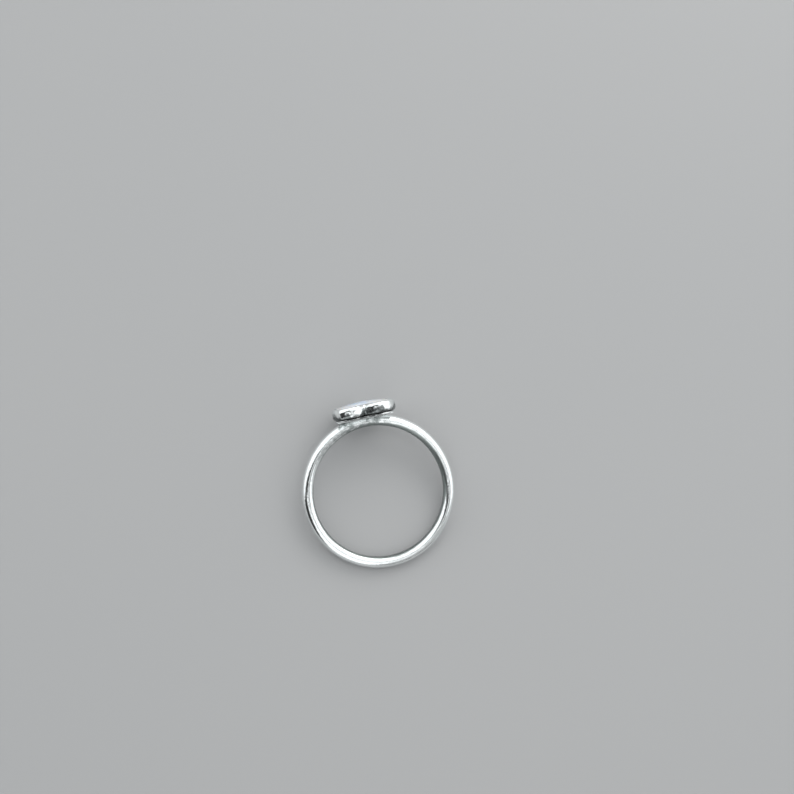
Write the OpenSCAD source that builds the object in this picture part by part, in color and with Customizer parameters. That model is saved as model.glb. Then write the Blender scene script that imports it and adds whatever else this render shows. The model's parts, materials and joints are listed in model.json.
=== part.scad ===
// Silver ring: a round-wire band that carries a heart-shaped bezel cup with a domed stone.
// The ring lies on its side as it does on a table: the far side of the band and the point of
// the heart touch the ground, z = 0, and the two lobes of the heart look up.

/* [Band] */
// Inner diameter of the band, a medium finger size
finger_d = 17.7; // [15:0.1:21]
// Diameter of the round wire that the band is bent from
wire_d = 1.6; // [1.3:0.1:2.2]
// Width of the narrow flat inside the band, where the wire was closed around a mandrel
inner_flat_w = 0.7; // [0.4:0.1:1]

/* [Stone] */
// Width of the heart-shaped stone across its two lobes
stone_w = 8; // [7:0.1:9]
// Length of the stone from its lobes to its point
stone_l = 7.4; // [6.8:0.1:8.6]
// Height of the stone's dome above the back plate
stone_h = 1.9; // [1.8:0.05:2.6]
// Gap between the stone and the metal around it
stone_gap = 0.05; // [0.03:0.01:0.08]

/* [Setting] */
// Thickness of the bezel cup's sheet silver
bezel_t = 0.25; // [0.2:0.01:0.3]
// Height of the bezel cup from the back plate to the top of its rim
bezel_h = 1.6; // [1.5:0.05:1.8]
// Radius of the cup's rounded lower edge
foot_r = 0.55; // [0.45:0.01:0.6]
// How far the rim of the bezel is pressed over the edge of the stone
rim_over = 0.27; // [0.2:0.01:0.3]
// Thickness of the back plate
plate_t = 0.3; // [0.25:0.05:0.5]
// How far the back plate's edge lies inside the widest outline of the cup
plate_inset = 0.28; // [0.15:0.01:0.35]
// Depth of the flat that is filed on the band as a seat for the back plate
seat_depth = 0.25; // [0.15:0.05:0.25]

/* [Solder] */
// Radius of the hollow fillet that the solder leaves at each end of the joint
solder_r = 0.12; // [0.08:0.01:0.2]
// Width of the solder across the band
solder_w = 1.2; // [0.8:0.1:1.3]

/* [Hidden] */

SILVER = [0.83, 0.85, 0.86];
MILKY = [0.9, 0.93, 0.96];
SMOOTH = 96;
SINK = 0.05;

// Band: radius of the finger hole, of the wire, of the wire's centre line and of the outside
finger_r = finger_d / 2;
wire_r = wire_d / 2;
centre_r = finger_r + sqrt(wire_r * wire_r - inner_flat_w * inner_flat_w / 4);
outer_r = centre_r + wire_r;

// Setting: distance from the ring's centre to the bottom and the top of the back plate
plate_low = outer_r - seat_depth;
plate_top = plate_low + plate_t;

// How far the bezel's outer face and the back plate's edge stand outside the stone
bezel_grow = stone_gap + bezel_t;
plate_grow = bezel_grow - plate_inset;

// Radii in the bottom of the cleft between the lobes, of the cup's outer face and of the plate
bezel_cleft_r = 0.16;
plate_cleft_r = 0.9;

// Heart outline of the stone, made of arcs: lobe, flank and point, with their centres
lobe_r = 0.262 * stone_w;
flank_r = 0.72 * stone_w;
point_r = 0.08 * stone_w;
lobe_c = [stone_w / 2 - lobe_r, stone_l / 2 - lobe_r];
point_c = [0, point_r - stone_l / 2];
flank_c = circles_meet(lobe_c, flank_r - lobe_r, point_c, flank_r - point_r);

// Where two circles about p and q meet, on the side to the right of the way from p to q
function circles_meet(p, p_r, q, q_r) =
    let (d = norm(q - p),
         along = (p_r * p_r - q_r * q_r + d * d) / (2 * d),
         aside = sqrt(p_r * p_r - along * along),
         u = (q - p) / d)
    p + along * u + aside * [u.y, -u.x];

function angle_of(v) = atan2(v.y, v.x);

// The right half of the heart outline, grown by a distance, as arcs from the cleft to the point.
// Columns: centre, radius, angle at the start, angle at the end, steps
function half_arcs(grow, cleft_r) =
    let (cleft_c = [0, lobe_c.y + sqrt(pow(lobe_r + grow + cleft_r, 2) - pow(lobe_c.x, 2))],
         to_lobe = angle_of(lobe_c - cleft_c),
         to_flank = angle_of(lobe_c - flank_c),
         to_point = angle_of(point_c - flank_c))
    [[cleft_c, cleft_r, -90, to_lobe, 4],
     [lobe_c, lobe_r + grow, to_lobe + 180, to_flank, 20],
     [flank_c, flank_r + grow, to_flank, to_point, 9],
     [point_c, point_r + grow, to_point, -90, 5]];

function half_heart(grow, cleft_r) =
    [for (arc = half_arcs(grow, cleft_r))
        for (i = [0 : arc[4] - 1])
            let (a = arc[2] + (arc[3] - arc[2]) * i / arc[4])
            arc[0] + arc[1] * [cos(a), sin(a)]];

// The whole outline, counter-clockwise from the point
function heart(grow, cleft_r) =
    let (half = half_heart(grow, cleft_r), last = len(half) - 1, tip = point_c - [0, point_r + grow])
    concat([tip], [for (i = [last : -1 : 1]) half[i]], [half[0]],
           [for (i = [1 : last]) [-half[i].x, half[i].y]]);

function heart_ring(grow, cleft_r, height) = [for (p = heart(grow, cleft_r)) [p.x, p.y, height]];

// Quarter round of the cup's lower edge, in a radius about the centre that all its layers share.
// Its points, like those of all sections below, are a distance in from the cup's widest outline
// and a height above the back plate
function foot_arc(r, steps) =
    [for (i = [0 : steps]) [foot_r - r * sin(90 * i / steps), foot_r - r * cos(90 * i / steps)]];

// Outer face of the rim that is pressed inwards. Columns: share of the way in to the rim's edge,
// share of the bezel's height
RIM_OUTSIDE = [
    [0.00, 0.70],
    [0.05, 0.80],
    [0.18, 0.90],
    [0.42, 0.975],
    [0.72, 1.00],
    [0.95, 0.98]];

// Underside of the rim, from its edge to the wall. Columns: distance in from the wall's inner face
// over the rim's overhang, share of the bezel's height
RIM_INSIDE = [
    [1.00, 0.94],
    [0.73, 0.90],
    [0.35, 0.85],
    [0.00, 0.76]];

// Shoulder of the stone, from its girdle to the start of its dome. Columns: distance in from the
// girdle over the rim's overhang, share of the bezel's height
SHOULDER = [
    [0.00, 0.72],
    [0.22, 0.806],
    [0.56, 0.861],
    [1.04, 0.909],
    [1.56, 0.952]];

// Section of the bezel cup, walked up the outside and down the inside
flange_in = foot_r + bezel_t;
bezel_section = concat(
    [[foot_r, -SINK]],
    foot_arc(foot_r, 4),
    [for (row = RIM_OUTSIDE) [row[0] * (bezel_t + rim_over), row[1] * bezel_h]],
    [for (row = RIM_INSIDE) [bezel_t + row[0] * rim_over, row[1] * bezel_h]],
    [for (i = [2 : -1 : 0]) foot_arc(foot_r - bezel_t, 2)[i]],
    [[flange_in, bezel_t], [flange_in, -SINK]]);

// Section of the stone's edge, from its flat back up to the start of its dome
edge_section = concat(
    foot_arc(foot_r - bezel_grow, 2),
    [for (row = SHOULDER) [bezel_grow + row[0] * rim_over, row[1] * bezel_h]]);

// Dome of the stone, scaled in towards its middle, each value a share of the edge's size
DOME_SCALES = [0.88, 0.74, 0.58, 0.4, 0.2];
dome_c = [0, 0.03 * stone_l];
dome_edge = edge_section[len(edge_section) - 1];

// Height of the dome where it is scaled by s: a rounded crown that levels out in the middle
function dome_height(s) = dome_edge[1] + (stone_h - dome_edge[1]) * pow(1 - s * s, 0.75);

// The heart outline at a point of a section
function section_ring(p) = heart_ring(bezel_grow - p[0], bezel_cleft_r + p[0], p[1]);

function dome_ring(s) =
    [for (p = section_ring(dome_edge))
        let (q = dome_c + s * ([p.x, p.y] - dome_c))
        [q.x, q.y, dome_height(s)]];

bezel_rings = [for (p = bezel_section) section_ring(p)];
stone_rings = concat([for (p = edge_section) section_ring(p)], [for (s = DOME_SCALES) dome_ring(s)]);

function flatten(lists) = [for (list = lists) for (item = list) item];

// Faces between ring i and the next one, for rings of n points that run counter-clockwise
function wall_faces(i, next, n) =
    [for (k = [0 : n - 1]) let (m = (k + 1) % n)
        each [[i * n + k, next * n + k, i * n + m], [i * n + m, next * n + k, next * n + m]]];

// A closed skin through rings whose last ring joins the first, such as a rim
module hollow_loft(rings) {
    n = len(rings[0]);
    count = len(rings);
    polyhedron(flatten(rings), flatten([for (i = [0 : count - 1]) wall_faces(i, (i + 1) % count, n)]));
}

// A solid through rings, with a flat bottom and a crown that ends in one point
module domed_loft(rings, crown) {
    n = len(rings[0]);
    count = len(rings);
    polyhedron(
        concat(flatten(rings), [crown]),
        concat([[for (k = [0 : n - 1]) k]],
               flatten([for (i = [0 : count - 2]) wall_faces(i, i + 1, n)]),
               [for (k = [0 : n - 1]) [(count - 1) * n + k, count * n, (count - 1) * n + (k + 1) % n]]));
}

// Solder between the band and the back plate, seen along the finger: a web from the band's centre
// line up into the plate, with a hollow fillet at each end
fillet_c = [sqrt(pow(outer_r + solder_r, 2) - pow(plate_low - solder_r, 2)), plate_low - solder_r];
fillet_end = 144 + angle_of(fillet_c);
fillet_half = [for (a = [fillet_end : -12 : 90]) fillet_c + solder_r * [cos(a), sin(a)]];
foot_angle = acos(fillet_half[0].x / centre_r);
solder_web = concat(
    [for (i = [0 : 8]) centre_r * [cos(180 - foot_angle - (180 - 2 * foot_angle) * i / 8),
                                   sin(180 - foot_angle - (180 - 2 * foot_angle) * i / 8)]],
    fillet_half,
    [[fillet_c.x, plate_low + SINK], [-fillet_c.x, plate_low + SINK]],
    [for (i = [len(fillet_half) - 1 : -1 : 0]) [-fillet_half[i].x, fillet_half[i].y]]);

// Angle by which the ring leans when the far side of the band and a point of the head touch down,
// where the point is given by its distances from the ring's centre, outwards and downwards
function lean_on(out, down) =
    let (far = [down, out + centre_r])
    atan(far[0] / far[1]) - asin(wire_r / norm(far));

head_reach = stone_l / 2 + bezel_grow;
lean = max([for (p = bezel_section) lean_on(plate_top + p[1], head_reach - p[0])]);
lift = centre_r * sin(lean) + wire_r;

// Farthest reach of the leaning ring to the front of the heart and to the far side of the band
front = max([for (p = flatten(concat(bezel_rings, stone_rings)))
    (plate_top + p.z) * cos(lean) - p.y * sin(lean)]);
back = centre_r * cos(lean) + wire_r;

// Puts the ring down on its side, with the middle of its footprint at the origin
module lying() {
    translate([0, (back - front) / 2, lift]) rotate([lean, 0, 0]) children();
}

// Puts a heart that is drawn flat on the ground onto the outside of the band, lobes upwards
module on_band() {
    translate([0, plate_top, 0]) rotate([90, 0, 180]) children();
}

module wire_band() {
    rotate_extrude($fn = SMOOTH) intersection() {
        translate([centre_r, 0]) circle(r = wire_r, $fn = SMOOTH);
        translate([finger_r, -wire_r]) square([wire_d, wire_d]);
    }
}

module back_plate() {
    on_band() translate([0, 0, -plate_t]) linear_extrude(plate_t)
        polygon(heart(plate_grow, plate_cleft_r));
}

module bezel_cup() {
    on_band() hollow_loft(bezel_rings);
}

module solder_joint() {
    linear_extrude(solder_w, center = true) polygon(solder_web);
}

// All the metal is soldered together, so it is one solid
module band_and_bezel() {
    color(SILVER) lying() {
        wire_band();
        back_plate();
        bezel_cup();
        solder_joint();
    }
}

module heart_stone() {
    color(MILKY) lying() on_band()
        domed_loft(stone_rings, [dome_c.x, dome_c.y, stone_h]);
}

band_and_bezel();
heart_stone();
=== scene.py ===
"""Dresses the silver heart ring: a polished round-wire band, a heart-shaped cup on a thin plate,
a solder seam and a milky domed stone, lying on its side on a pale floor.

Sizes are in millimetres, or in metres where a name ends in _m, and lying(), the last step of each
shape, gives metres. A shape is a grid of points worked out with numpy, in one of two local frames:
  ring frame   the ring's centre at the origin, z along the finger, y towards the heart
  heart frame  the heart flat on the ground, point towards -y, back plate's top at z = 0
"""
import json
import math

import bpy
import numpy as np
from mathutils import Matrix, Vector


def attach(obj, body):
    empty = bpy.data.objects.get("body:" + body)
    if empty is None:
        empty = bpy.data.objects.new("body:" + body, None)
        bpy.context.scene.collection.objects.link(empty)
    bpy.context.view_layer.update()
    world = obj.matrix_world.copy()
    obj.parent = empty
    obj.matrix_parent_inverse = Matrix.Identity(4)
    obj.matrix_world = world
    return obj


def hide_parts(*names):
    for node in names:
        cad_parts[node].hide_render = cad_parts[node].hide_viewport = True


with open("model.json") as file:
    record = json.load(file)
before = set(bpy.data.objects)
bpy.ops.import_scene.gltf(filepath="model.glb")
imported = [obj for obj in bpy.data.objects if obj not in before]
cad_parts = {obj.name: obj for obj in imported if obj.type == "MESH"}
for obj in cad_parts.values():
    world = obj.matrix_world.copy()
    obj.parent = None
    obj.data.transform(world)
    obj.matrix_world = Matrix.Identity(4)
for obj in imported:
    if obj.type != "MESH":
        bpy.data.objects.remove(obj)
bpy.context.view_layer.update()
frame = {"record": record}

MM = 0.001

# Sizes, as in the part's source
finger_d = 17.7  # inner diameter of the band
wire_d = 1.6  # diameter of the round wire that the band is bent from
inner_flat_w = 0.7  # width of the narrow flat inside the band
stone_w = 8.0  # width of the stone across its two lobes
stone_l = 7.4  # length of the stone from its lobes to its point
stone_h = 1.9  # height of the stone's dome above the back plate
stone_gap = 0.05  # gap between the stone and the metal around it
bezel_t = 0.25  # thickness of the cup's sheet silver
bezel_h = 1.6  # height of the cup from the back plate to the top of its rim
foot_r = 0.55  # radius of the cup's rounded lower edge
rim_over = 0.27  # how far the rim of the cup is pressed over the edge of the stone
plate_t = 0.3  # thickness of the back plate
plate_inset = 0.28  # how far the plate's edge lies inside the widest outline of the cup
seat_depth = 0.25  # depth of the flat on the band that the plate sits on
solder_r = 0.12  # radius of the hollow that the solder leaves in the corner

# Band: radius of the finger hole, of the wire, of the wire's centre line and of the outside
finger_r = finger_d / 2
wire_r = wire_d / 2
centre_r = finger_r + math.sqrt(wire_r ** 2 - inner_flat_w ** 2 / 4)
outer_r = centre_r + wire_r

# Setting: distance from the ring's centre to the bottom and the top of the back plate
plate_low = outer_r - seat_depth
plate_top = plate_low + plate_t

# How far the cup's outer face and the plate's edge stand outside the stone, and their radii in
# the bottom of the cleft between the lobes
bezel_grow = stone_gap + bezel_t
plate_grow = bezel_grow - plate_inset
bezel_cleft_r, plate_cleft_r = 0.16, 0.9

# Radii of the arcs that the stone's outline is made of
lobe_r, flank_r, point_r = 0.262 * stone_w, 0.72 * stone_w, 0.08 * stone_w

# How the ring lies: the middle and the axis of the finger hole, as the frame's record gives them
finger_hole = next(mount for mount in frame["record"]["mounts"] if mount["name"] == "finger_hole")
ring_centre = np.array(finger_hole["pos_m"]) / MM
_, axis_y, axis_z = finger_hole["axis"]
tilt = np.array([[1, 0, 0],
                 [0, axis_z, axis_y],
                 [0, -axis_y, axis_z]])


def unit(v):
    """A vector scaled to length 1, along the last axis."""
    v = np.asarray(v, float)
    return v / np.linalg.norm(v, axis=-1, keepdims=True)


# Camera: the photograph looks down the finger hole, 7 degrees from one side and 5.5 from the
# heart's side, with the ring left of and below the middle of the frame and turned 11.3 degrees
# anticlockwise
FRAME_PX = 794
RING_AT_PX = (378.5, 491.0)
PX_PER_MM = 7.42
CAMERA_AWAY = 300.0
SENSOR_W = 36.0
clip_near_m, clip_far_m = 0.005, 50
side_tilt, heart_tilt, picture_turn = np.radians([7.0, 5.5, 11.3])
focal_px = PX_PER_MM * CAMERA_AWAY
to_camera = tilt @ unit([-math.tan(side_tilt), math.tan(heart_tilt), 1])


def camera_turn():
    """The rotation that takes the camera's own axes to the row's. One direction and one upward
    vector are known on both sides: the way to the ring's centre and the way to the heart. Each
    pair, with its cross product, is a right-handed frame, and the rotation is one frame times the
    other's transpose."""
    def right_handed(ahead, up):
        up = unit(up - np.dot(up, ahead) * ahead)
        return np.stack([ahead, up, np.cross(ahead, up)], 1)

    half = FRAME_PX / 2
    to_ring = unit([RING_AT_PX[0] - half, half - RING_AT_PX[1], -focal_px])
    to_heart = np.array([-math.sin(picture_turn), math.cos(picture_turn), 0])
    in_row = right_handed(-to_camera, tilt @ [0, 1, 0])
    return in_row @ right_handed(to_ring, to_heart).T


def photo_camera():
    """The camera, CAMERA_AWAY from the ring. Its focal length over the sensor's width is the focal
    length in pixels over the frame's pixels."""
    lens = bpy.data.cameras.new("photo_camera")
    lens.sensor_width = SENSOR_W
    lens.lens = focal_px * SENSOR_W / FRAME_PX
    lens.clip_start, lens.clip_end = clip_near_m, clip_far_m
    camera = bpy.data.objects.new("photo_camera", lens)
    bpy.context.collection.objects.link(camera)
    place = Matrix.Translation(Vector((ring_centre + to_camera * CAMERA_AWAY) * MM))
    camera.matrix_world = place @ Matrix(camera_turn().tolist()).to_4x4()
    bpy.context.scene.camera = camera


photo_camera()


# From local frames to the row
def on_band(points):
    """Heart frame to ring frame: (x, y, z) becomes (-x, plate_top + z, y)."""
    return np.stack([-points[..., 0], plate_top + points[..., 2], points[..., 1]], -1)


def lying(points):
    """Ring frame to the row frame: leaned about x, moved to where the ring lies, in metres."""
    return (points @ tilt.T + ring_centre) * MM


# Meshes from grids of points
def put_mesh(name, points, faces, place=None):
    """A smooth-shaded object at the origin from points (n, 3), in metres, and quads or triangles
    (m, 4), where a triangle repeats its last corner. place, if given, is three numbers for each
    point that say where on the surface it is, and the material reads them."""
    is_triangle = faces[:, 2] == faces[:, 3]
    is_corner = np.ones(faces.shape, bool)
    is_corner[is_triangle, 3] = False
    corners = faces[is_corner]
    starts = np.concatenate([[0], np.cumsum(is_corner.sum(1))[:-1]])
    mesh = bpy.data.meshes.new(name)
    mesh.vertices.add(len(points))
    mesh.vertices.foreach_set("co", np.ascontiguousarray(points, np.float32).ravel())
    mesh.loops.add(len(corners))
    mesh.loops.foreach_set("vertex_index", corners.astype(np.int32))
    mesh.polygons.add(len(faces))
    mesh.polygons.foreach_set("loop_start", starts.astype(np.int32))
    mesh.polygons.foreach_set("use_smooth", np.ones(len(faces), bool))
    mesh.update(calc_edges=True)
    if place is not None:
        layer = mesh.attributes.new("place", "FLOAT_VECTOR", "POINT")
        layer.data.foreach_set("vector", np.ascontiguousarray(place, np.float32).ravel())
    mesh.validate()
    obj = bpy.data.objects.new(name, mesh)
    bpy.context.collection.objects.link(obj)
    return obj


def closed_both_ways(rows, cols):
    """Quads of a grid whose last row joins the first and last column the first. Point (i, j) has
    the number i * cols + j, and each quad's corners are (i, j), (i, j+1), (i+1, j+1), (i+1, j)."""
    i, j = np.meshgrid(np.arange(rows), np.arange(cols), indexing="ij")
    i2, j2 = (i + 1) % rows, (j + 1) % cols
    return np.stack([i * cols + j, i * cols + j2, i2 * cols + j2, i2 * cols + j], -1).reshape(-1, 4)


def closed_by_poles(rows, cols):
    """Quads between the rings of a grid, and fans from its first and last ring to two poles, the
    points with the numbers rows * cols and rows * cols + 1."""
    j = np.arange(cols)
    j2 = (j + 1) % cols
    last_ring = (rows - 1) * cols
    pole = np.full(cols, rows * cols)
    first_fan = np.stack([pole, j2, j, j], -1)
    last_fan = np.stack([pole + 1, last_ring + j, last_ring + j2, last_ring + j2], -1)
    return np.concatenate([first_fan, closed_both_ways(rows, cols)[:last_ring], last_fan])


# Heart outline: how many points each arc of one side has
CLEFT_STEPS, LOBE_STEPS, FLANK_STEPS, POINT_STEPS = 12, 84, 48, 24


def angle_of(v):
    """The angle from +x to a direction."""
    return math.atan2(v[1], v[0])


def circles_meet(p, p_r, q, q_r):
    """Where two circles meet, right of the way from p to q: along the way by the power line's
    distance, aside by the rest of the radius."""
    d = np.linalg.norm(q - p)
    along = (p_r ** 2 - q_r ** 2 + d ** 2) / (2 * d)
    u = (q - p) / d
    return p + along * u + math.sqrt(p_r ** 2 - along ** 2) * np.array([u[1], -u[0]])


lobe_c = np.array([stone_w / 2 - lobe_r, stone_l / 2 - lobe_r])
point_c = np.array([0, point_r - stone_l / 2])
flank_c = circles_meet(lobe_c, flank_r - lobe_r, point_c, flank_r - point_r)


def arc(centre, radius, start, end, steps):
    """Points from one angle up to, but without, another: centre + radius times (cos a, sin a)."""
    a = start + (end - start) * np.arange(steps) / steps
    return centre + radius * np.stack([np.cos(a), np.sin(a)], -1)


def heart(grow, cleft_r):
    """The heart outline grown by a distance, counter-clockwise from the point: on each side the
    arcs of cleft, lobe, flank and point, with common tangents where they meet. The left half is
    the right half with x negated."""
    cleft_c = np.array([0, lobe_c[1] + math.sqrt((lobe_r + grow + cleft_r) ** 2 - lobe_c[0] ** 2)])
    to_lobe = angle_of(lobe_c - cleft_c)
    to_flank = angle_of(lobe_c - flank_c)
    to_point = angle_of(point_c - flank_c)
    down = -math.pi / 2
    half = np.concatenate([
        arc(cleft_c, cleft_r, down, to_lobe, CLEFT_STEPS),
        arc(lobe_c, lobe_r + grow, to_lobe + math.pi, to_flank, LOBE_STEPS),
        arc(flank_c, flank_r + grow, to_flank, to_point, FLANK_STEPS),
        arc(point_c, point_r + grow, to_point, down, POINT_STEPS)])
    tip = point_c - [0, point_r + grow]
    return np.concatenate([[tip], half[:0:-1], half[:1], half[1:] * [-1, 1]])


# How many points an outline has, and how far round the heart each one is, as an angle
OUTLINE = len(heart(0, plate_cleft_r))
way_round = 2 * math.pi * np.arange(OUTLINE) / OUTLINE


def section_rings(section, grow=bezel_grow, cleft_r=bezel_cleft_r):
    """One heart outline for each point (inset, height) of a section: the outline grown by
    grow - inset, at that height."""
    return np.stack([np.column_stack([heart(grow - inset, cleft_r + inset), np.full(OUTLINE, height)])
                     for inset, height in section])


def drawn_in(ring, middle, shares):
    """A ring drawn in towards a middle point, once for each share of its size that is left."""
    return middle + np.asarray(shares)[:, None, None] * (ring - middle)


def smooth(points, steps):
    """A curve through points, steps to each span: the Catmull-Rom cubic, whose slope at each point
    is half the way between its two neighbours."""
    p = np.asarray(points, float)
    p = np.concatenate([[2 * p[0] - p[1]], p, [2 * p[-1] - p[-2]]])
    a, b, c, d = (q[:, None] for q in (p[:-3], p[1:-2], p[2:-1], p[3:]))
    t = (np.arange(steps) / steps)[None, :, None]
    curve = 0.5 * (2 * b + (c - a) * t + (2 * a - 5 * b + 4 * c - d) * t ** 2
                   + (3 * b - a - 3 * c + d) * t ** 3)
    return np.concatenate([curve.reshape(-1, 2), p[-2:-1]])


def ramp(value, low, high):
    """0 at low, 1 at high, straight between and level beyond."""
    return np.clip((value - low) / (high - low), 0, 1)


def waves(t, table):
    """A sum of cosines in t, between 0 and 1. Columns: waves in a turn, share, shift."""
    count, share, shift = np.array(table, float).T
    total = (share * np.cos(count * np.asarray(t)[..., None] + shift)).sum(-1)
    return 0.5 + 0.5 * total / share.sum()


# Band: how many points it has round the ring and round the wire
RING_STEPS, WIRE_STEPS = 640, 72
# Depth of the hand filing, its waves round the ring and round the wire, how many turns round the
# wire they make in one turn of the ring, and how far the first ones wander on their way
BAND_FILED = 0.02
FILED_ROUND_RING = [(3, 1.0, 0.4), (5, 0.8, 2.1), (8, 0.7, 4.0), (13, 0.6, 1.2), (21, 0.5, 5.1),
                    (34, 0.35, 0.7)]
FILED_ROUND_WIRE = [(2, 1, 0.3), (3, 1, 1.9)]
FILED_TWIST, FILED_WANDER = 2, 0.35


def ring_band():
    """A torus: centre_r plus the wire's radius times cos w, outwards, and times sin w, along the
    finger, for a round the ring and w round the wire. Nothing comes closer in than finger_r, which
    leaves the narrow flat inside. The wire's radius shrinks where it was filed, by BAND_FILED
    times the product of the two sets of waves. Its place is (cos a, sin a, size of w over pi)."""
    a = 2 * math.pi * np.arange(RING_STEPS) / RING_STEPS
    w = 2 * math.pi * np.arange(WIRE_STEPS) / WIRE_STEPS - math.pi
    a, w = np.meshgrid(a, w, indexing="ij")
    twisted = w + FILED_TWIST * a
    round_ring = waves(a + FILED_WANDER * np.cos(twisted), FILED_ROUND_RING)
    r = wire_r - BAND_FILED * round_ring * waves(twisted, FILED_ROUND_WIRE)
    out = np.maximum(centre_r + r * np.cos(w), finger_r)
    points = np.stack([out * np.cos(a), out * np.sin(a), r * np.sin(w)], -1).reshape(-1, 3)
    place = np.stack([np.cos(a), np.sin(a), abs(w) / math.pi], -1).reshape(-1, 3)
    faces = closed_both_ways(RING_STEPS, WIRE_STEPS)[:, ::-1]
    return put_mesh("ring_band", lying(points), faces, place)


# Back plate
# The point in the heart that its edges are pressed and filed towards
HEART_MIDDLE = np.array([0, 0.2, 0])
# Radii that the edge is filed round to, below and above, how far in it was filed at most, and the
# waves of that round the heart
PLATE_ROUND_LOW, PLATE_ROUND_TOP = 0.2, 0.06
PLATE_FILED = 0.03
PLATE_WAVES = [(7, 1, 0.2), (11, 0.8, 2.2), (19, 0.6, 4.4)]
# Shares of the edge's outline at which the plate's two flat faces have a ring of points
PLATE_RINGS = np.array([0.06, 0.25, 0.5, 0.75, 0.92])


def edge_round(centre, radius, start, end, steps):
    """A round on an edge, as (inset, height): centre + radius times (-cos a, sin a), in degrees."""
    a = np.radians(np.linspace(start, end, steps))
    return np.asarray(centre) + radius * np.stack([-np.cos(a), np.sin(a)], -1)


def back_plate():
    """Sheet silver cut to a heart: a rounded edge carried along the outline and pulled towards the
    middle by up to PLATE_FILED, and two flat faces of that outline drawn in to a point. Its place
    is its point in the heart frame."""
    low, top = PLATE_ROUND_LOW, PLATE_ROUND_TOP
    edge = np.concatenate([edge_round((low, low - plate_t), low, -90, 0, steps=7),
                           edge_round((top, -top), top, 0, 90, steps=6)])
    rings = section_rings(edge, plate_grow, plate_cleft_r)
    outwards = unit((rings - HEART_MIDDLE) * [1, 1, 0])
    rings = rings - outwards * PLATE_FILED * waves(way_round, PLATE_WAVES)[None, :, None]
    low_middle = HEART_MIDDLE - [0, 0, plate_t]
    rings = np.concatenate([drawn_in(rings[0], low_middle, PLATE_RINGS), rings,
                            drawn_in(rings[-1], HEART_MIDDLE, PLATE_RINGS[::-1])])
    points = np.concatenate([rings.reshape(-1, 3), [low_middle, HEART_MIDDLE]])
    return put_mesh("back_plate", lying(on_band(points)), closed_by_poles(len(rings), OUTLINE), points)


# Cup
# The rim's outer face, up and over. Columns: share of the way in to its edge, share of bezel_h
RIM_OUTSIDE = [(0.00, 0.70), (0.05, 0.80), (0.18, 0.90), (0.42, 0.975), (0.72, 1.00), (0.95, 0.98)]
# The rim's underside, from its edge back to the wall. Columns: distance in from the wall's inner
# face over rim_over, share of bezel_h
RIM_INSIDE = [(1.00, 0.94), (0.73, 0.90), (0.35, 0.85), (0.00, 0.76)]
# How far the cup's foot is sunk into the plate
FOOT_SUNK = 0.05
# How far the pusher pressed the rim in and dented the wall, at most, and the waves of both round
# the heart
RIM_PUSHED, WALL_DENTED = 0.03, 0.02
PUSHED_WAVES = [(17, 1, 0.9), (23, 0.9, 3.3), (31, 0.5, 1.1)]
DENTED_WAVES = [(9, 1, 2.0), (14, 0.8, 0.5), (22, 0.6, 3.7)]
# Shares of the cup's height between which the push sets in, and over which the dents fade out
# towards foot and rim, and by what share of the push the rim sinks
PUSH_FROM, PUSH_FULL, DENT_FADE, RIM_SINKS = 0.45, 0.85, 0.3, 0.5
# Flats that the pusher left on the wall, and one low bulge, which has a negative depth.
# Columns: place x, y, z, half-width, half-height, depth
PUSHER_MARKS = [(-1.75, 4.0, 0.8, 0.6, 0.7, 0.045), (-0.9, 3.7, 0.5, 0.4, 0.35, 0.04),
                (2.07, 4.0, 0.6, 0.6, 0.6, 0.045), (3.25, 3.4, 0.8, 0.45, 0.8, -0.04),
                (-1.20, 4.0, 0.75, 0.24, 0.26, 0.035), (-2.25, 4.0, 0.65, 0.26, 0.22, 0.035),
                (-2.75, 3.8, 0.95, 0.22, 0.22, 0.03), (2.60, 3.9, 0.70, 0.24, 0.24, 0.035),
                (1.45, 4.0, 0.95, 0.25, 0.2, 0.025), (-0.45, 3.5, 0.85, 0.22, 0.3, 0.03)]


def foot_arc(r, steps):
    """The cup's rounded lower edge, a quarter round about (foot_r, foot_r)."""
    a = np.linspace(0, math.pi / 2, steps)
    return foot_r - r * np.stack([np.sin(a), np.cos(a)], -1)


def pressed_in(points):
    """How deep the marks are at each point: for each mark its depth times e to the minus square of
    the distance to its place, counted in half-widths across and half-heights up."""
    def mark(x, y, z, half_w, half_h, depth):
        away = (points - [x, y, z]) / [half_w, half_w, half_h]
        return depth * np.exp(-(away ** 2).sum(-1, keepdims=True))
    return sum(mark(*row) for row in PUSHER_MARKS)


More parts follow.
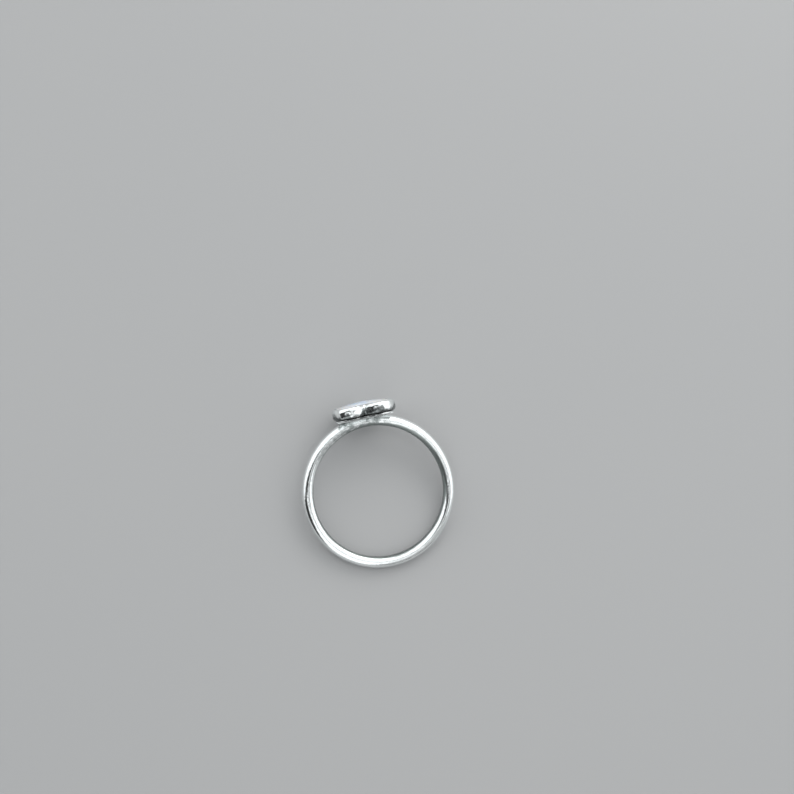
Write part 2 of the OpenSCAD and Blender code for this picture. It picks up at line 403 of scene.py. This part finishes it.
def bezel_cup():
    """Sheet silver pressed over the stone: one closed section, up the outside and down the inside,
    carried along the heart. Its outer face moves inwards by the pushed and dented waves and by the
    marks, and all of the rim sinks by RIM_SINKS of the push. Its place is its point in the heart
    frame."""
    outside = smooth([(x * (bezel_t + rim_over), h * bezel_h) for x, h in RIM_OUTSIDE], steps=5)
    inside = smooth([(bezel_t + x * rim_over, h * bezel_h) for x, h in RIM_INSIDE], steps=4)
    wall_z = np.linspace(foot_r, outside[0, 1], num=9)[1:-1]
    wall = np.stack([np.zeros_like(wall_z), wall_z], -1)
    flange = foot_r + bezel_t
    outer_face = np.concatenate([[(foot_r, -FOOT_SUNK)], foot_arc(foot_r, steps=14), wall, outside])
    inner_face = np.concatenate([inside, foot_arc(foot_r - bezel_t, steps=6)[::-1],
                                 [(flange, bezel_t), (flange, -FOOT_SUNK)]])
    rings = section_rings(np.concatenate([outer_face, inner_face]))
    height = rings[..., 2:] / bezel_h
    pushed = RIM_PUSHED * waves(way_round, PUSHED_WAVES)[None, :, None]
    pushed = pushed * ramp(height, PUSH_FROM, PUSH_FULL)
    dented = WALL_DENTED * waves(way_round, DENTED_WAVES)[None, :, None]
    dented = dented * ramp(height, 0, DENT_FADE) * ramp(height, 1, 1 - DENT_FADE)
    inwards = unit((HEART_MIDDLE - rings) * [1, 1, 0])
    is_outer = (np.arange(len(rings)) < len(outer_face))[:, None, None]
    rings = rings + inwards * is_outer * (pushed + dented + pressed_in(rings))
    rings[..., 2:] -= RIM_SINKS * pushed
    points = rings.reshape(-1, 3)
    return put_mesh("bezel_cup", lying(on_band(points)), closed_both_ways(len(rings), OUTLINE), points)


# Solder: how many points the seam has along it, worked out from how many on each of its two halves,
# and how many across its hollow
SEAM_STEPS, HALF_STEPS, HOLLOW_STEPS = 240, 400, 10
# How far the seam's hidden side is sunk into the metal
SEAM_SUNK = 0.08


def evenly(loop, steps):
    """Points at even distances along a closed line in the plane: the line's own points, read
    against the length that is behind each one."""
    loop = np.concatenate([loop, loop[:1]])
    behind = np.concatenate([[0], np.cumsum(np.linalg.norm(np.diff(loop, axis=0), axis=1))])
    at = np.linspace(0, behind[-1], steps, endpoint=False)
    return np.stack([np.interp(at, behind, loop[:, 0]), np.interp(at, behind, loop[:, 1])], -1)


def solder_seam():
    """Solder in the corner between the wire and the plate: the hollow that a ball of radius
    solder_r leaves as it rolls round the corner. Its centre is solder_r below the plate and
    solder_r off the wire, so it is on a torus of wire radius rho = wire_r + solder_r cut by a plane
    at y = p: x = +-sqrt((centre_r + rho cos a)^2 - p^2), z = rho sin a. Each section is the ball's
    arc from the plate to the wire, turned evenly from one to the other, and is closed by three
    points sunk into the metal."""
    rho = wire_r + solder_r
    p = plate_low - solder_r
    a_most = math.acos((p - centre_r) / rho)
    a = a_most * np.sin(np.linspace(-math.pi / 2, math.pi / 2, HALF_STEPS))
    x = np.sqrt(np.maximum((centre_r + rho * np.cos(a)) ** 2 - p ** 2, 0))
    half = np.stack([x, rho * np.sin(a)], -1)
    loop = evenly(np.concatenate([half, half[-2:0:-1] * [-1, 1]]), SEAM_STEPS)
    ball = np.stack([loop[:, 0], np.full(SEAM_STEPS, p), loop[:, 1]], -1)
    to_wire = unit(unit(ball * [1, 1, 0]) * centre_r - ball)
    to_plate = np.broadcast_to([0.0, 1.0, 0.0], to_wire.shape)
    between = np.arccos(np.clip((to_wire * to_plate).sum(-1), -1, 1))[:, None, None]
    t = np.linspace(0, 1, HOLLOW_STEPS)[None, :, None]
    turned = np.sin((1 - t) * between) * to_plate[:, None] + np.sin(t * between) * to_wire[:, None]
    hollow = ball[:, None] + solder_r * turned / np.sin(between)
    sunk = np.stack([to_wire, unit(to_wire + to_plate), to_plate], 1)
    sunk = ball[:, None] + (solder_r + SEAM_SUNK) * sunk
    rings = np.concatenate([hollow, sunk], 1)
    faces = closed_both_ways(SEAM_STEPS, rings.shape[1])
    return put_mesh("solder_seam", lying(rings.reshape(-1, 3)), faces)


# Stone
# Its shoulder, from the girdle up to the start of the dome. Columns: distance in from the girdle
# over rim_over, share of bezel_h
SHOULDER = [(0.00, 0.72), (0.22, 0.806), (0.56, 0.861), (1.04, 0.909), (1.56, 0.952)]
# The middle that its back and its dome are drawn in to, as in the part's source
dome_c = np.array([0, 0.03 * stone_l, 0])
# Shares of the girdle's outline at which the flat back has a ring of points, and of the dome's
# edge at which the dome has one: the cosines of even steps, from just off the edge to just off
# the crown
BACK_RINGS = [0.08, 0.3, 0.6, 0.85]
DOME_RINGS = np.cos(np.linspace(0.12, math.pi / 2 - 0.03, num=36))


def heart_stone():
    """A cabochon: flat back, rounded girdle, and a dome whose rings are the edge drawn in to a
    share s, at the edge's height plus the rise times (1 - s^2)^0.75."""
    shoulder = smooth([(bezel_grow + x * rim_over, h * bezel_h) for x, h in SHOULDER], steps=5)
    rings = section_rings(np.concatenate([foot_arc(foot_r - bezel_grow, steps=8), shoulder]))
    back = drawn_in(rings[0], dome_c, BACK_RINGS)
    dome = drawn_in(rings[-1], dome_c, DOME_RINGS)
    edge_z = shoulder[-1, 1]
    dome[..., 2] = edge_z + (stone_h - edge_z) * (1 - DOME_RINGS[:, None] ** 2) ** 0.75
    rings = np.concatenate([back, rings, dome])
    points = np.concatenate([rings.reshape(-1, 3), [dome_c, dome_c + [0, 0, stone_h]]])
    return put_mesh("heart_cabochon", lying(on_band(points)), closed_by_poles(len(rings), OUTLINE))


# Finishes
class Field:
    """What a node gives off: a number, colour or place that differs from point to point. Numbers
    add, subtract, multiply and divide, each time by one more node."""

    def __init__(self, nodes, socket):
        self.nodes = nodes
        self.socket = socket

    def __add__(self, other):
        return self.nodes.math("ADD", self, other)

    def __sub__(self, other):
        return self.nodes.math("SUBTRACT", self, other)

    def __rsub__(self, other):
        return self.nodes.math("SUBTRACT", other, self)

    def __mul__(self, other):
        return self.nodes.math("MULTIPLY", self, other)

    def __truediv__(self, other):
        return self.nodes.math("DIVIDE", self, other)


class Nodes:
    """Short words for a node tree. Sockets are given by name or number, each with a constant or
    with the Field that feeds it."""

    def __init__(self, tree):
        self.tree = tree
        tree.nodes.clear()

    def put(self, node, sockets):
        """Sets or joins a node's sockets."""
        for name, value in sockets.items():
            if isinstance(value, Field):
                self.tree.links.new(value.socket, node.inputs[name])
            else:
                node.inputs[name].default_value = value

    def add(self, kind, sockets, **settings):
        """A new node of a kind, with its settings and its sockets."""
        node = self.tree.nodes.new(kind)
        for name, value in settings.items():
            setattr(node, name, value)
        self.put(node, sockets)
        return node

    def out(self, kind, output, sockets, **settings):
        """What a new node gives off at one of its outputs."""
        return Field(self, self.add(kind, sockets, **settings).outputs[output])

    def place(self):
        """Where a point is, in the object's metres."""
        return self.out("ShaderNodeTexCoord", "Object", {})

    def own_place(self):
        """Where a point is on its piece, by the three numbers that the piece gave it."""
        return self.out("ShaderNodeAttribute", "Vector", {}, attribute_name="place")

    def split(self, vector):
        """The three numbers of a place."""
        node = self.add("ShaderNodeSeparateXYZ", {"Vector": vector})
        return [Field(self, socket) for socket in node.outputs]

    def math(self, operation, *values):
        """One number from one or two."""
        return self.out("ShaderNodeMath", 0, dict(enumerate(values)), operation=operation)

    def of_two(self, operation, a, b):
        """One number from two vectors: their distance or dot product."""
        return self.out("ShaderNodeVectorMath", "Value", {0: a, 1: b}, operation=operation)

    def noise(self, where, scale, detail, rough=0.5, twist=0.0):
        """A cloudy number about 0.5, in finer and finer layers: detail is their count, rough how
        strong the finer ones are, and twist how far the clouds are bent."""
        return self.out("ShaderNodeTexNoise", "Fac", {"Vector": where, "Scale": scale, "Detail": detail,
                                                      "Roughness": rough, "Distortion": twist})

    def stretched(self, where, scale, shift=(0, 0, 0)):
        """A place times a scale, plus a shift."""
        return self.out("ShaderNodeMapping", 0, {"Vector": where, "Scale": scale, "Location": shift})

    def spread(self, value, low, high, to_low=0.0, to_high=1.0):
        """to_low at low, to_high at high, eased between and level beyond. low may be the larger."""
        return self.out("ShaderNodeMapRange", "Result",
                        {"Value": value, "From Min": low, "From Max": high, "To Min": to_low,
                         "To Max": to_high}, interpolation_type="SMOOTHSTEP")

    def tint(self, share, first, second):
        """A colour on the way from one to another."""
        return self.out("ShaderNodeMix", 2, {0: share, 6: first, 7: second}, data_type="RGBA")

    def turn_of(self, x, y):
        """The share of a turn from +X to the direction (x, y)."""
        return self.math("FRACT", self.math("ARCTAN2", y, x) / (2 * math.pi) + 1.0)

    def look_up(self, share, table):
        """A value read from a table against a share, straight between its rows."""
        node = self.add("ShaderNodeValToRGB", {"Fac": share})
        stops = node.color_ramp.elements
        for _ in range(len(table) - 2):
            stops.new(0.5)
        for stop, (at, value) in zip(stops, table):
            stop.position = at
            stop.color = (value, value, value, 1)
        return Field(self, node.outputs[0])

    def bump(self, height, depth, strength=1.0, under=None):
        """A surface that a height raises by up to a depth, in metres, over one that is there."""
        sockets = {"Height": height, "Distance": depth, "Strength": strength}
        if under is not None:
            sockets["Normal"] = under
        return self.out("ShaderNodeBump", 0, sockets)


def new_finish(name):
    """An empty material, its nodes and its shader."""
    material = bpy.data.materials.new(name)
    material.use_nodes = True
    n = Nodes(material.node_tree)
    shader = n.add("ShaderNodeBsdfPrincipled", {})
    n.add("ShaderNodeOutputMaterial", {"Surface": Field(n, shader.outputs[0])})
    return material, n, shader


# Polished silver
CLEAN, DULLED = (0.94, 0.965, 0.965, 1), (0.85, 0.885, 0.88, 1)
# Grey of the wire near the heart: painted shade under it, along with a soldering stain
FIRE_AND_SHADE_GREY = (0.36, 0.39, 0.385, 1)
# Colours of the band's satin inside, darkened as painted shade
SHADED_INSIDE_DARK, SHADED_INSIDE_PALE = (0.19, 0.215, 0.21, 1), (0.38, 0.41, 0.40, 1)
# Tarnish colours, used also as painted shade and painted dark reflections on the cup's wall
TARNISH_SHADE_DARK, TARNISH_SHADE_PALE = (0.10, 0.11, 0.11, 1), (0.32, 0.34, 0.34, 1)
# Near-black painted shade for the corner under the cup
PAINTED_CORNER_SHADE = (0.035, 0.037, 0.037, 1)
# Colours of the plate's edge that no buff reached, used also as painted shade from the cup
UNBUFFED_SHADE_DARK, UNBUFFED_SHADE_PALE = (0.06, 0.065, 0.065, 1), (0.20, 0.21, 0.21, 1)
SOLDER_DARK, SOLDER_PALE = (0.16, 0.165, 0.16, 1), (0.40, 0.415, 0.405, 1)
SCRATCH_DEPTH = 0.012
# Two sets of fine scratches for each way of buffing. Columns: how fine they are along each axis of
# the place that they follow, and a shift
ALONG_THE_WIRE = [((14, 14, 70), (0, 0, 0)), ((170, 170, 9), (3, 7, 0))]
BOTH_WAYS = [((900, 900, 16000), (0, 0, 0)), ((7000, 1400, 900), (0.3, 0.1, 0))]
# How far the satin inside of the band reaches, whose colour is darkened as painted shade. Columns:
# share of the turn round the ring from +X, share of the half-turn round the wire from its outermost
# line
DULL_AND_SHADED_FROM = [(0.00, 0.57), (0.14, 0.57), (0.24, 0.66), (0.32, 0.80), (0.44, 0.82), (0.52, 0.74),
             (0.62, 0.69), (0.76, 0.67), (0.84, 0.76), (0.93, 0.74), (1.00, 0.57)]
# Where the wire near the heart is painted grey: painted shade under the heart, along with a fire stain
# from soldering. Columns: share of the turn round the ring from +X, strength
FIRE_STAIN_AND_SHADE = [(0.00, 0.0), (0.19, 0.0), (0.22, 1.0), (0.30, 1.0), (0.325, 0.7), (0.37, 0.5),
              (0.42, 0.0), (1.00, 0.0)]
# Tarnish, painted shade and painted dark reflections: how high they darken the cup's wall. Columns:
# share of the way across the heart, whose width is given below, and height as a share of the height
# given below
TARNISH_SHADE_ACROSS, TARNISH_SHADE_UP = 9.0, 2.0
TARNISH_AND_SHADE_TO = [(0.00, 0.55), (0.10, 0.20), (0.19, 0.16), (0.25, 0.46), (0.36, 0.44), (0.48, 0.42),
              (0.55, 0.34), (0.62, 0.10), (0.72, 0.12), (0.77, 0.42), (0.82, 0.40), (0.86, 0.14),
              (0.93, 0.30), (1.00, 0.60)]


def fine_scratches(n, where, ways):
    """Two noises stretched two ways, laid over each other, the first one stronger."""
    first_way, second_way = ways
    first = n.noise(n.stretched(where, *first_way), scale=1.0, detail=4, rough=0.65)
    second = n.noise(n.stretched(where, *second_way), scale=1.0, detail=4, rough=0.7)
    return first * 0.6 + second * 0.4


def wire_wear_and_shade(n, smudge, colour, rough):
    """The band's inside is satin, and darker as painted shade. Near the heart the wire is painted grey,
    all round the wire under it and on the wire's inner half beside it: painted shade of the heart,
    along with a fire stain."""
    ring_x, ring_y, round_wire = n.split(n.own_place())
    turn = n.turn_of(ring_x, ring_y)
    # Painted shade: past the edge that the table gives, the band's inner half is darkened
    inside = n.spread(round_wire - n.look_up(turn, DULL_AND_SHADED_FROM) + (smudge - 0.5) * 0.10, -0.05, 0.06)
    # Painted shade under the heart, along with a soldering stain: the wire is tinted grey there
    strength = n.look_up(turn, FIRE_STAIN_AND_SHADE)
    reached = n.math("MAXIMUM", n.spread(round_wire, 0.44, 0.54), n.spread(strength, 0.75, 1.0))
    stain_and_shade = strength * reached * n.spread(smudge, 0.38, 0.62, 0.15, 1.0)
    colour = n.tint(stain_and_shade, colour, FIRE_AND_SHADE_GREY)
    colour = n.tint(inside, colour, n.tint(smudge, SHADED_INSIDE_DARK, SHADED_INSIDE_PALE))
    return colour, rough + n.math("MAXIMUM", inside, stain_and_shade) * 0.2


def cup_tarnish_and_shade(n, smudge, colour, rough):
    """Tarnish, painted shade low down and painted dark reflections higher up darken the cup's wall, up
    to a ragged edge that is higher towards the lobes. The corner under the cup is painted black, as
    shade."""
    own_place = n.own_place()
    x, y, z = n.split(own_place)
    up_to = n.look_up(x / TARNISH_SHADE_ACROSS + 0.5, TARNISH_AND_SHADE_TO) * TARNISH_SHADE_UP
    up_to = up_to + n.spread(y, -1.0, 2.6, -0.6, 0.1)
    ragged = (n.noise(own_place, scale=2.4, detail=4) - 0.5) * 1.2
    # Tarnish with painted shade and painted dark reflections, below the ragged edge
    tarnish_and_shade_mask = n.spread(up_to - z + ragged, -0.22, 0.30)
    tarnish_and_shade_colour = n.tint(n.spread(smudge, 0.3, 0.7), TARNISH_SHADE_DARK, TARNISH_SHADE_PALE)
    # Painted shade: the corner under the cup is darkened to near black
    corner = n.spread(z - smudge * 0.2, 0.16, 0.0)
    colour = n.tint(corner, n.tint(tarnish_and_shade_mask, colour, tarnish_and_shade_colour), PAINTED_CORNER_SHADE)
    return colour, rough + tarnish_and_shade_mask * 0.12


def plate_wear_and_shade(n, smudge, colour, rough):
    """The plate's edge under the lobes is darkened, but for a short bright stretch at each end: metal
    that no buff reached, with painted shade from the cup above it."""
    x, y, z = n.split(n.own_place())
    between_ends = n.spread(x, -2.3, -1.8) * n.spread(x, 3.0, 2.5)
    on_edge = n.spread(y, 1.2, 2.2) * n.spread(z, -0.27, -0.17)
    # Painted shade from the cup, along with metal that no buff reached
    unbuffed_and_shaded = between_ends * on_edge * n.spread(smudge, 0.3, 0.6, 0.6, 1.0)
    colour = n.tint(unbuffed_and_shaded, colour, n.tint(smudge, UNBUFFED_SHADE_DARK, UNBUFFED_SHADE_PALE))
    return colour, rough + unbuffed_and_shaded * 0.15


def polished_silver(name, buffed, dull, dents, along_the_wire, wear_and_shade):
    """Hand-polished sterling: broad soft dents from filing, fine scratches in two directions, and
    patches where the buff left it a little duller, between the two roughnesses buffed and dull.
    The last argument adds what this piece's own handling left on it, and the shade painted into its
    colour."""
    material, n, shader = new_finish(name)
    place = n.place()
    worn = n.spread(n.noise(place, scale=420, detail=4, rough=0.55, twist=0.3), 0.36, 0.66)
    smudge = n.noise(place, scale=1500, detail=5, rough=0.6)
    if along_the_wire:
        fine = fine_scratches(n, n.own_place(), ALONG_THE_WIRE)
    else:
        fine = fine_scratches(n, place, BOTH_WAYS)
    colour = n.tint(worn * n.spread(smudge, 0.3, 0.7), CLEAN, DULLED)
    rough = worn * (dull - buffed) + n.spread(fine, 0.42, 0.66) * 0.07 + buffed
    # This piece's own handling marks, and its painted shade
    colour, rough = wear_and_shade(n, smudge, colour, rough)
    filed = n.bump(n.noise(place, scale=700, detail=3, twist=0.4), dents * MM)
    n.put(shader, {"Base Color": colour, "Metallic": 1.0, "Roughness": rough,
                   "Normal": n.bump(fine, SCRATCH_DEPTH * MM, strength=0.5, under=filed)})
    return material


def solder_silver():
    """Solder that flowed and was buffed a little: greyer and duller than the wire, with pits."""
    material, n, shader = new_finish("solder_silver")
    place = n.place()
    flow = n.noise(place, scale=2600, detail=5, rough=0.6, twist=0.6)
    pits = n.spread(n.noise(place, scale=9000, detail=2), 0.62, 0.72)
    colour = n.tint(n.spread(flow, 0.35, 0.7), SOLDER_PALE, SOLDER_DARK)
    n.put(shader, {"Base Color": colour, "Metallic": 1.0,
                   "Roughness": n.spread(flow, 0.3, 0.7, 0.16, 0.34),
                   "Normal": n.bump(flow - pits * 0.5, 0.03 * MM, strength=0.8)})
    return material


# Milky stone: its cloudy body, the painted blue sheen about the crown, the tinge away from it, and its
# veils
CLOUDY, CLOUDIER = (0.70, 0.735, 0.765, 1), (0.82, 0.835, 0.85, 1)
SHEEN_BLUE, ROSY, VEIL = (0.47, 0.62, 0.86, 1), (0.84, 0.75, 0.755, 1), (0.92, 0.94, 0.96, 1)
# Where the painted sheen is strongest, in the heart frame, and how far from there it ends and is full
SHEEN_AT = np.array([0.4, 0.7, stone_h])
SHEEN_ENDS, SHEEN_FULL = 3.1, 0.6
# How fine the veils are along each axis
VEIL_FINENESS = (380, 2600, 1500)


def milky_stone():
    """A milky, translucent cabochon: cloudy body, a bluish sheen painted into its colour that is
    strongest near the crown, a rosy tinge low down, faint cleavage veils, and a glassy polish."""
    material, n, shader = new_finish("milky_stone")
    place = n.place()
    cloud = n.spread(n.noise(place, scale=260, detail=5, rough=0.55, twist=0.8), 0.3, 0.72)
    veins = n.noise(n.stretched(place, VEIL_FINENESS), scale=1.0, detail=5, rough=0.6, twist=0.4)
    veil = n.spread(veins, 0.5, 0.74)
    from_sheen = n.of_two("DISTANCE", place, tuple(lying(on_band(SHEEN_AT)))) / MM
    painted_sheen = n.spread(from_sheen, SHEEN_ENDS, SHEEN_FULL)
    colour = n.tint(cloud, CLOUDY, CLOUDIER)
    colour = n.tint((1.0 - painted_sheen) * 0.16, colour, ROSY)
    # Painted sheen: the colour turns blue about the crown
    colour = n.tint(painted_sheen * 0.6, colour, SHEEN_BLUE)
    handled = n.noise(place, scale=1800, detail=4, rough=0.6)
    n.put(shader, {"Base Color": n.tint(veil * 0.3, colour, VEIL),
                   "Subsurface Weight": 0.45, "Subsurface Radius": (0.8, 1.0, 1.4),
                   "Subsurface Scale": 1.2 * MM, "IOR": 1.53,
                   "Roughness": n.spread(handled, 0.3, 0.8, 0.03, 0.09),
                   "Normal": n.bump(n.noise(place, scale=900, detail=2), 0.002 * MM)})
    return material


FLOOR_DARK, FLOOR_PALE = (0.395, 0.40, 0.405, 1), (0.42, 0.42, 0.42, 1)


def pale_floor():
    """Pale lacquered board with a satin sheen and a barely visible tooth."""
    material, n, shader = new_finish("pale_floor")
    place = n.place()
    colour = n.tint(n.noise(place, scale=9, detail=3), FLOOR_DARK, FLOOR_PALE)
    tooth = n.noise(place, scale=1800, detail=3)
    n.put(shader, {"Base Color": colour, "Roughness": 0.36, "IOR": 1.55,
                   "Normal": n.bump(tooth, 0.002 * MM, strength=0.4)})
    return material


# The pieces on the frame
wire_silver = polished_silver("wire_silver", buffed=0.08, dull=0.15, dents=0.04,
                              along_the_wire=True, wear_and_shade=wire_wear_and_shade)
cup_silver = polished_silver("cup_silver", buffed=0.07, dull=0.17, dents=0.07,
                             along_the_wire=False, wear_and_shade=cup_tarnish_and_shade)
sheet_silver = polished_silver("sheet_silver", buffed=0.07, dull=0.17, dents=0.07,
                               along_the_wire=False, wear_and_shade=plate_wear_and_shade)

PIECES = [(ring_band, wire_silver, "band_and_bezel", "silver"),
          (back_plate, sheet_silver, "band_and_bezel", "silver"),
          (bezel_cup, cup_silver, "band_and_bezel", "silver"),
          (solder_seam, solder_silver(), "band_and_bezel", "silver"),
          (heart_stone, milky_stone(), "heart_stone", "stone")]

for make, material, node, slot in PIECES:
    piece = make()
    piece.data.materials.append(material)
    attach(piece, "root")
    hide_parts(node)

# Floor, a square about the ring
floor_half_m = 4.0
floor_corners = floor_half_m * np.array([(-1, -1, 0), (1, -1, 0), (1, 1, 0), (-1, 1, 0)])
floor = put_mesh("floor", floor_corners, np.array([[0, 1, 2, 3]]))
floor.data.materials.append(pale_floor())

# What the silver mirrors: a white sky, dark and grey near the ground on the side towards the foot
# of the picture, and two dark arcs that start beside the camera, like the arms of its stand
SKY = (0.98, 1.0, 1.01, 1)
BRIGHT, GREY, DARK = 1.2, 0.48, 0.04
# How ragged the edges of the dark and the grey are, as a share of the way to overhead, how far the
# arms wander, and how soft their sides are, as a share of their half-width
EDGE_RAGGED, ARM_WANDER, ARM_SOFT = 0.26, 0.09, 0.25
# Columns: share of a turn from the row's +X, share of the way from the ground to overhead
DARK_BELOW = [(0.00, 0.0), (0.495, 0.0), (0.511, 0.25), (0.528, 0.48), (0.55, 0.62), (0.61, 0.62),
              (0.622, 0.12), (0.66, 0.08), (0.74, 0.16), (0.82, 0.20), (0.90, 0.12), (1.00, 0.0)]
GREY_BELOW = [(0.00, 0.0), (0.49, 0.0), (0.507, 0.28), (0.525, 0.54), (0.55, 0.68), (0.61, 0.68),
              (0.63, 0.16), (0.72, 0.18), (0.78, 0.58), (0.86, 0.62), (0.92, 0.25), (1.00, 0.0)]
# The pale backdrop along the horizon: where it ends, as a share of the way to overhead, and a
# table. Columns: share of a turn, brightness
BACKDROP_TOP = (0.105, 0.13)
BACKDROP = [(0.00, 0.85), (0.47, 0.80), (0.56, 0.60), (0.88, 0.60), (0.96, 0.85), (1.00, 0.85)]
# An arm is part of a circle in the plane of the two sines of a direction's angles to the camera's,
# right and up. left_over is the share of the sky's light that it lets by, and there tells where it
# is. Columns: share of a turn about the centre, 1 for there
ARMS = [{"centre": (-0.325, -0.83), "radius": 0.85, "half_width": 0.13, "left_over": 0.03,
         "there": [(0.0, 0.0), (0.13, 0.0), (0.175, 1.0), (0.365, 1.0), (0.385, 0.0), (1.0, 0.0)]},
        {"centre": (0.0, 0.0), "radius": 0.50, "half_width": 0.15, "left_over": 0.25,
         "there": [(0.0, 0.0), (0.86, 0.0), (0.89, 1.0), (0.93, 1.0), (0.96, 0.0), (1.0, 0.0)]}]


def studio_sky():
    """Brightness by direction. Elevation is arcsin z as a share of a right angle, and azimuth
    arctan2(y, x) as a share of a turn. The sky is dark and grey below the edges given for each
    azimuth, which noise makes ragged. An arm is where the distance to its circle's centre is
    within its half-width of the radius, on the camera's side."""
    world = bpy.data.worlds.new("studio_sky")
    world.use_nodes = True
    bpy.context.scene.world = world
    n = Nodes(world.node_tree)
    way = n.out("ShaderNodeTexCoord", "Generated", {})
    x, y, z = n.split(way)
    elevation = n.math("ARCSINE", z) / (math.pi / 2)
    turn = n.turn_of(x, y)
    ragged = (n.noise(way, scale=9, detail=3) - 0.5) * EDGE_RAGGED
    wander = (n.noise(way, scale=6, detail=3) - 0.5) * ARM_WANDER

    def above(table):
        """1 above the edge that a table gives, 0 below it."""
        return n.spread(elevation + ragged - n.look_up(turn, table), -0.01, 0.035)

    right = unit(np.array([1.0, 0, 0]) - to_camera[0] * to_camera)
    ahead, off_right, off_up = (n.of_two("DOT_PRODUCT", way, tuple(axis))
                                for axis in (to_camera, right, np.cross(to_camera, right)))

    def past_arm(centre, radius, half_width, left_over, there):
        """The share of the sky's light that comes past an arm."""
        across, up = off_right - centre[0], off_up - centre[1]
        away = n.math("SQRT", across * across + up * up) - radius + wander
        inner, outer = half_width * (1 - ARM_SOFT), half_width * (1 + ARM_SOFT)
        clear = n.spread(n.math("ABSOLUTE", away), inner, outer, left_over, 1.0)
        not_there = 1.0 - n.look_up(n.turn_of(across, up), there)
        behind = n.spread(ahead, 0.1, 0.0)
        return n.math("MAXIMUM", n.math("MAXIMUM", clear, not_there), behind)

    sky = n.spread(above(GREY_BELOW), 0, 1, GREY, BRIGHT) * above(DARK_BELOW)
    for arm in ARMS:
        sky = sky * past_arm(**arm)
    above_backdrop = n.spread(elevation, *BACKDROP_TOP)
    backdrop = n.look_up(turn, BACKDROP) * (1.0 - above_backdrop)
    level = n.math("MAXIMUM", sky, DARK) * above_backdrop + backdrop
    light = n.out("ShaderNodeBackground", 0, {"Color": SKY, "Strength": level})
    n.add("ShaderNodeOutputWorld", {"Surface": light})


SOFTBOX_WHITE = (1.0, 0.985, 0.965)


def softbox(name, azimuth, elevation, away_m, size_m, watts):
    """A rectangular area light that faces the ring, at an azimuth and elevation in degrees."""
    a, e = math.radians(azimuth), math.radians(elevation)
    place = Vector((math.cos(a) * math.cos(e), math.sin(a) * math.cos(e), math.sin(e))) * away_m
    light = bpy.data.lights.new(name, "AREA")
    light.shape = "RECTANGLE"
    light.size, light.size_y = size_m
    light.energy = watts
    light.color = SOFTBOX_WHITE
    lamp = bpy.data.objects.new(name, light)
    bpy.context.collection.objects.link(lamp)
    lamp.location = place
    lamp.rotation_euler = (-place).to_track_quat("-Z", "Y").to_euler()


softbox("front_softbox", azimuth=52, elevation=36, away_m=0.36, size_m=(0.26, 0.16), watts=0.30)
studio_sky()
bpy.context.scene.view_settings.view_transform = "Standard"
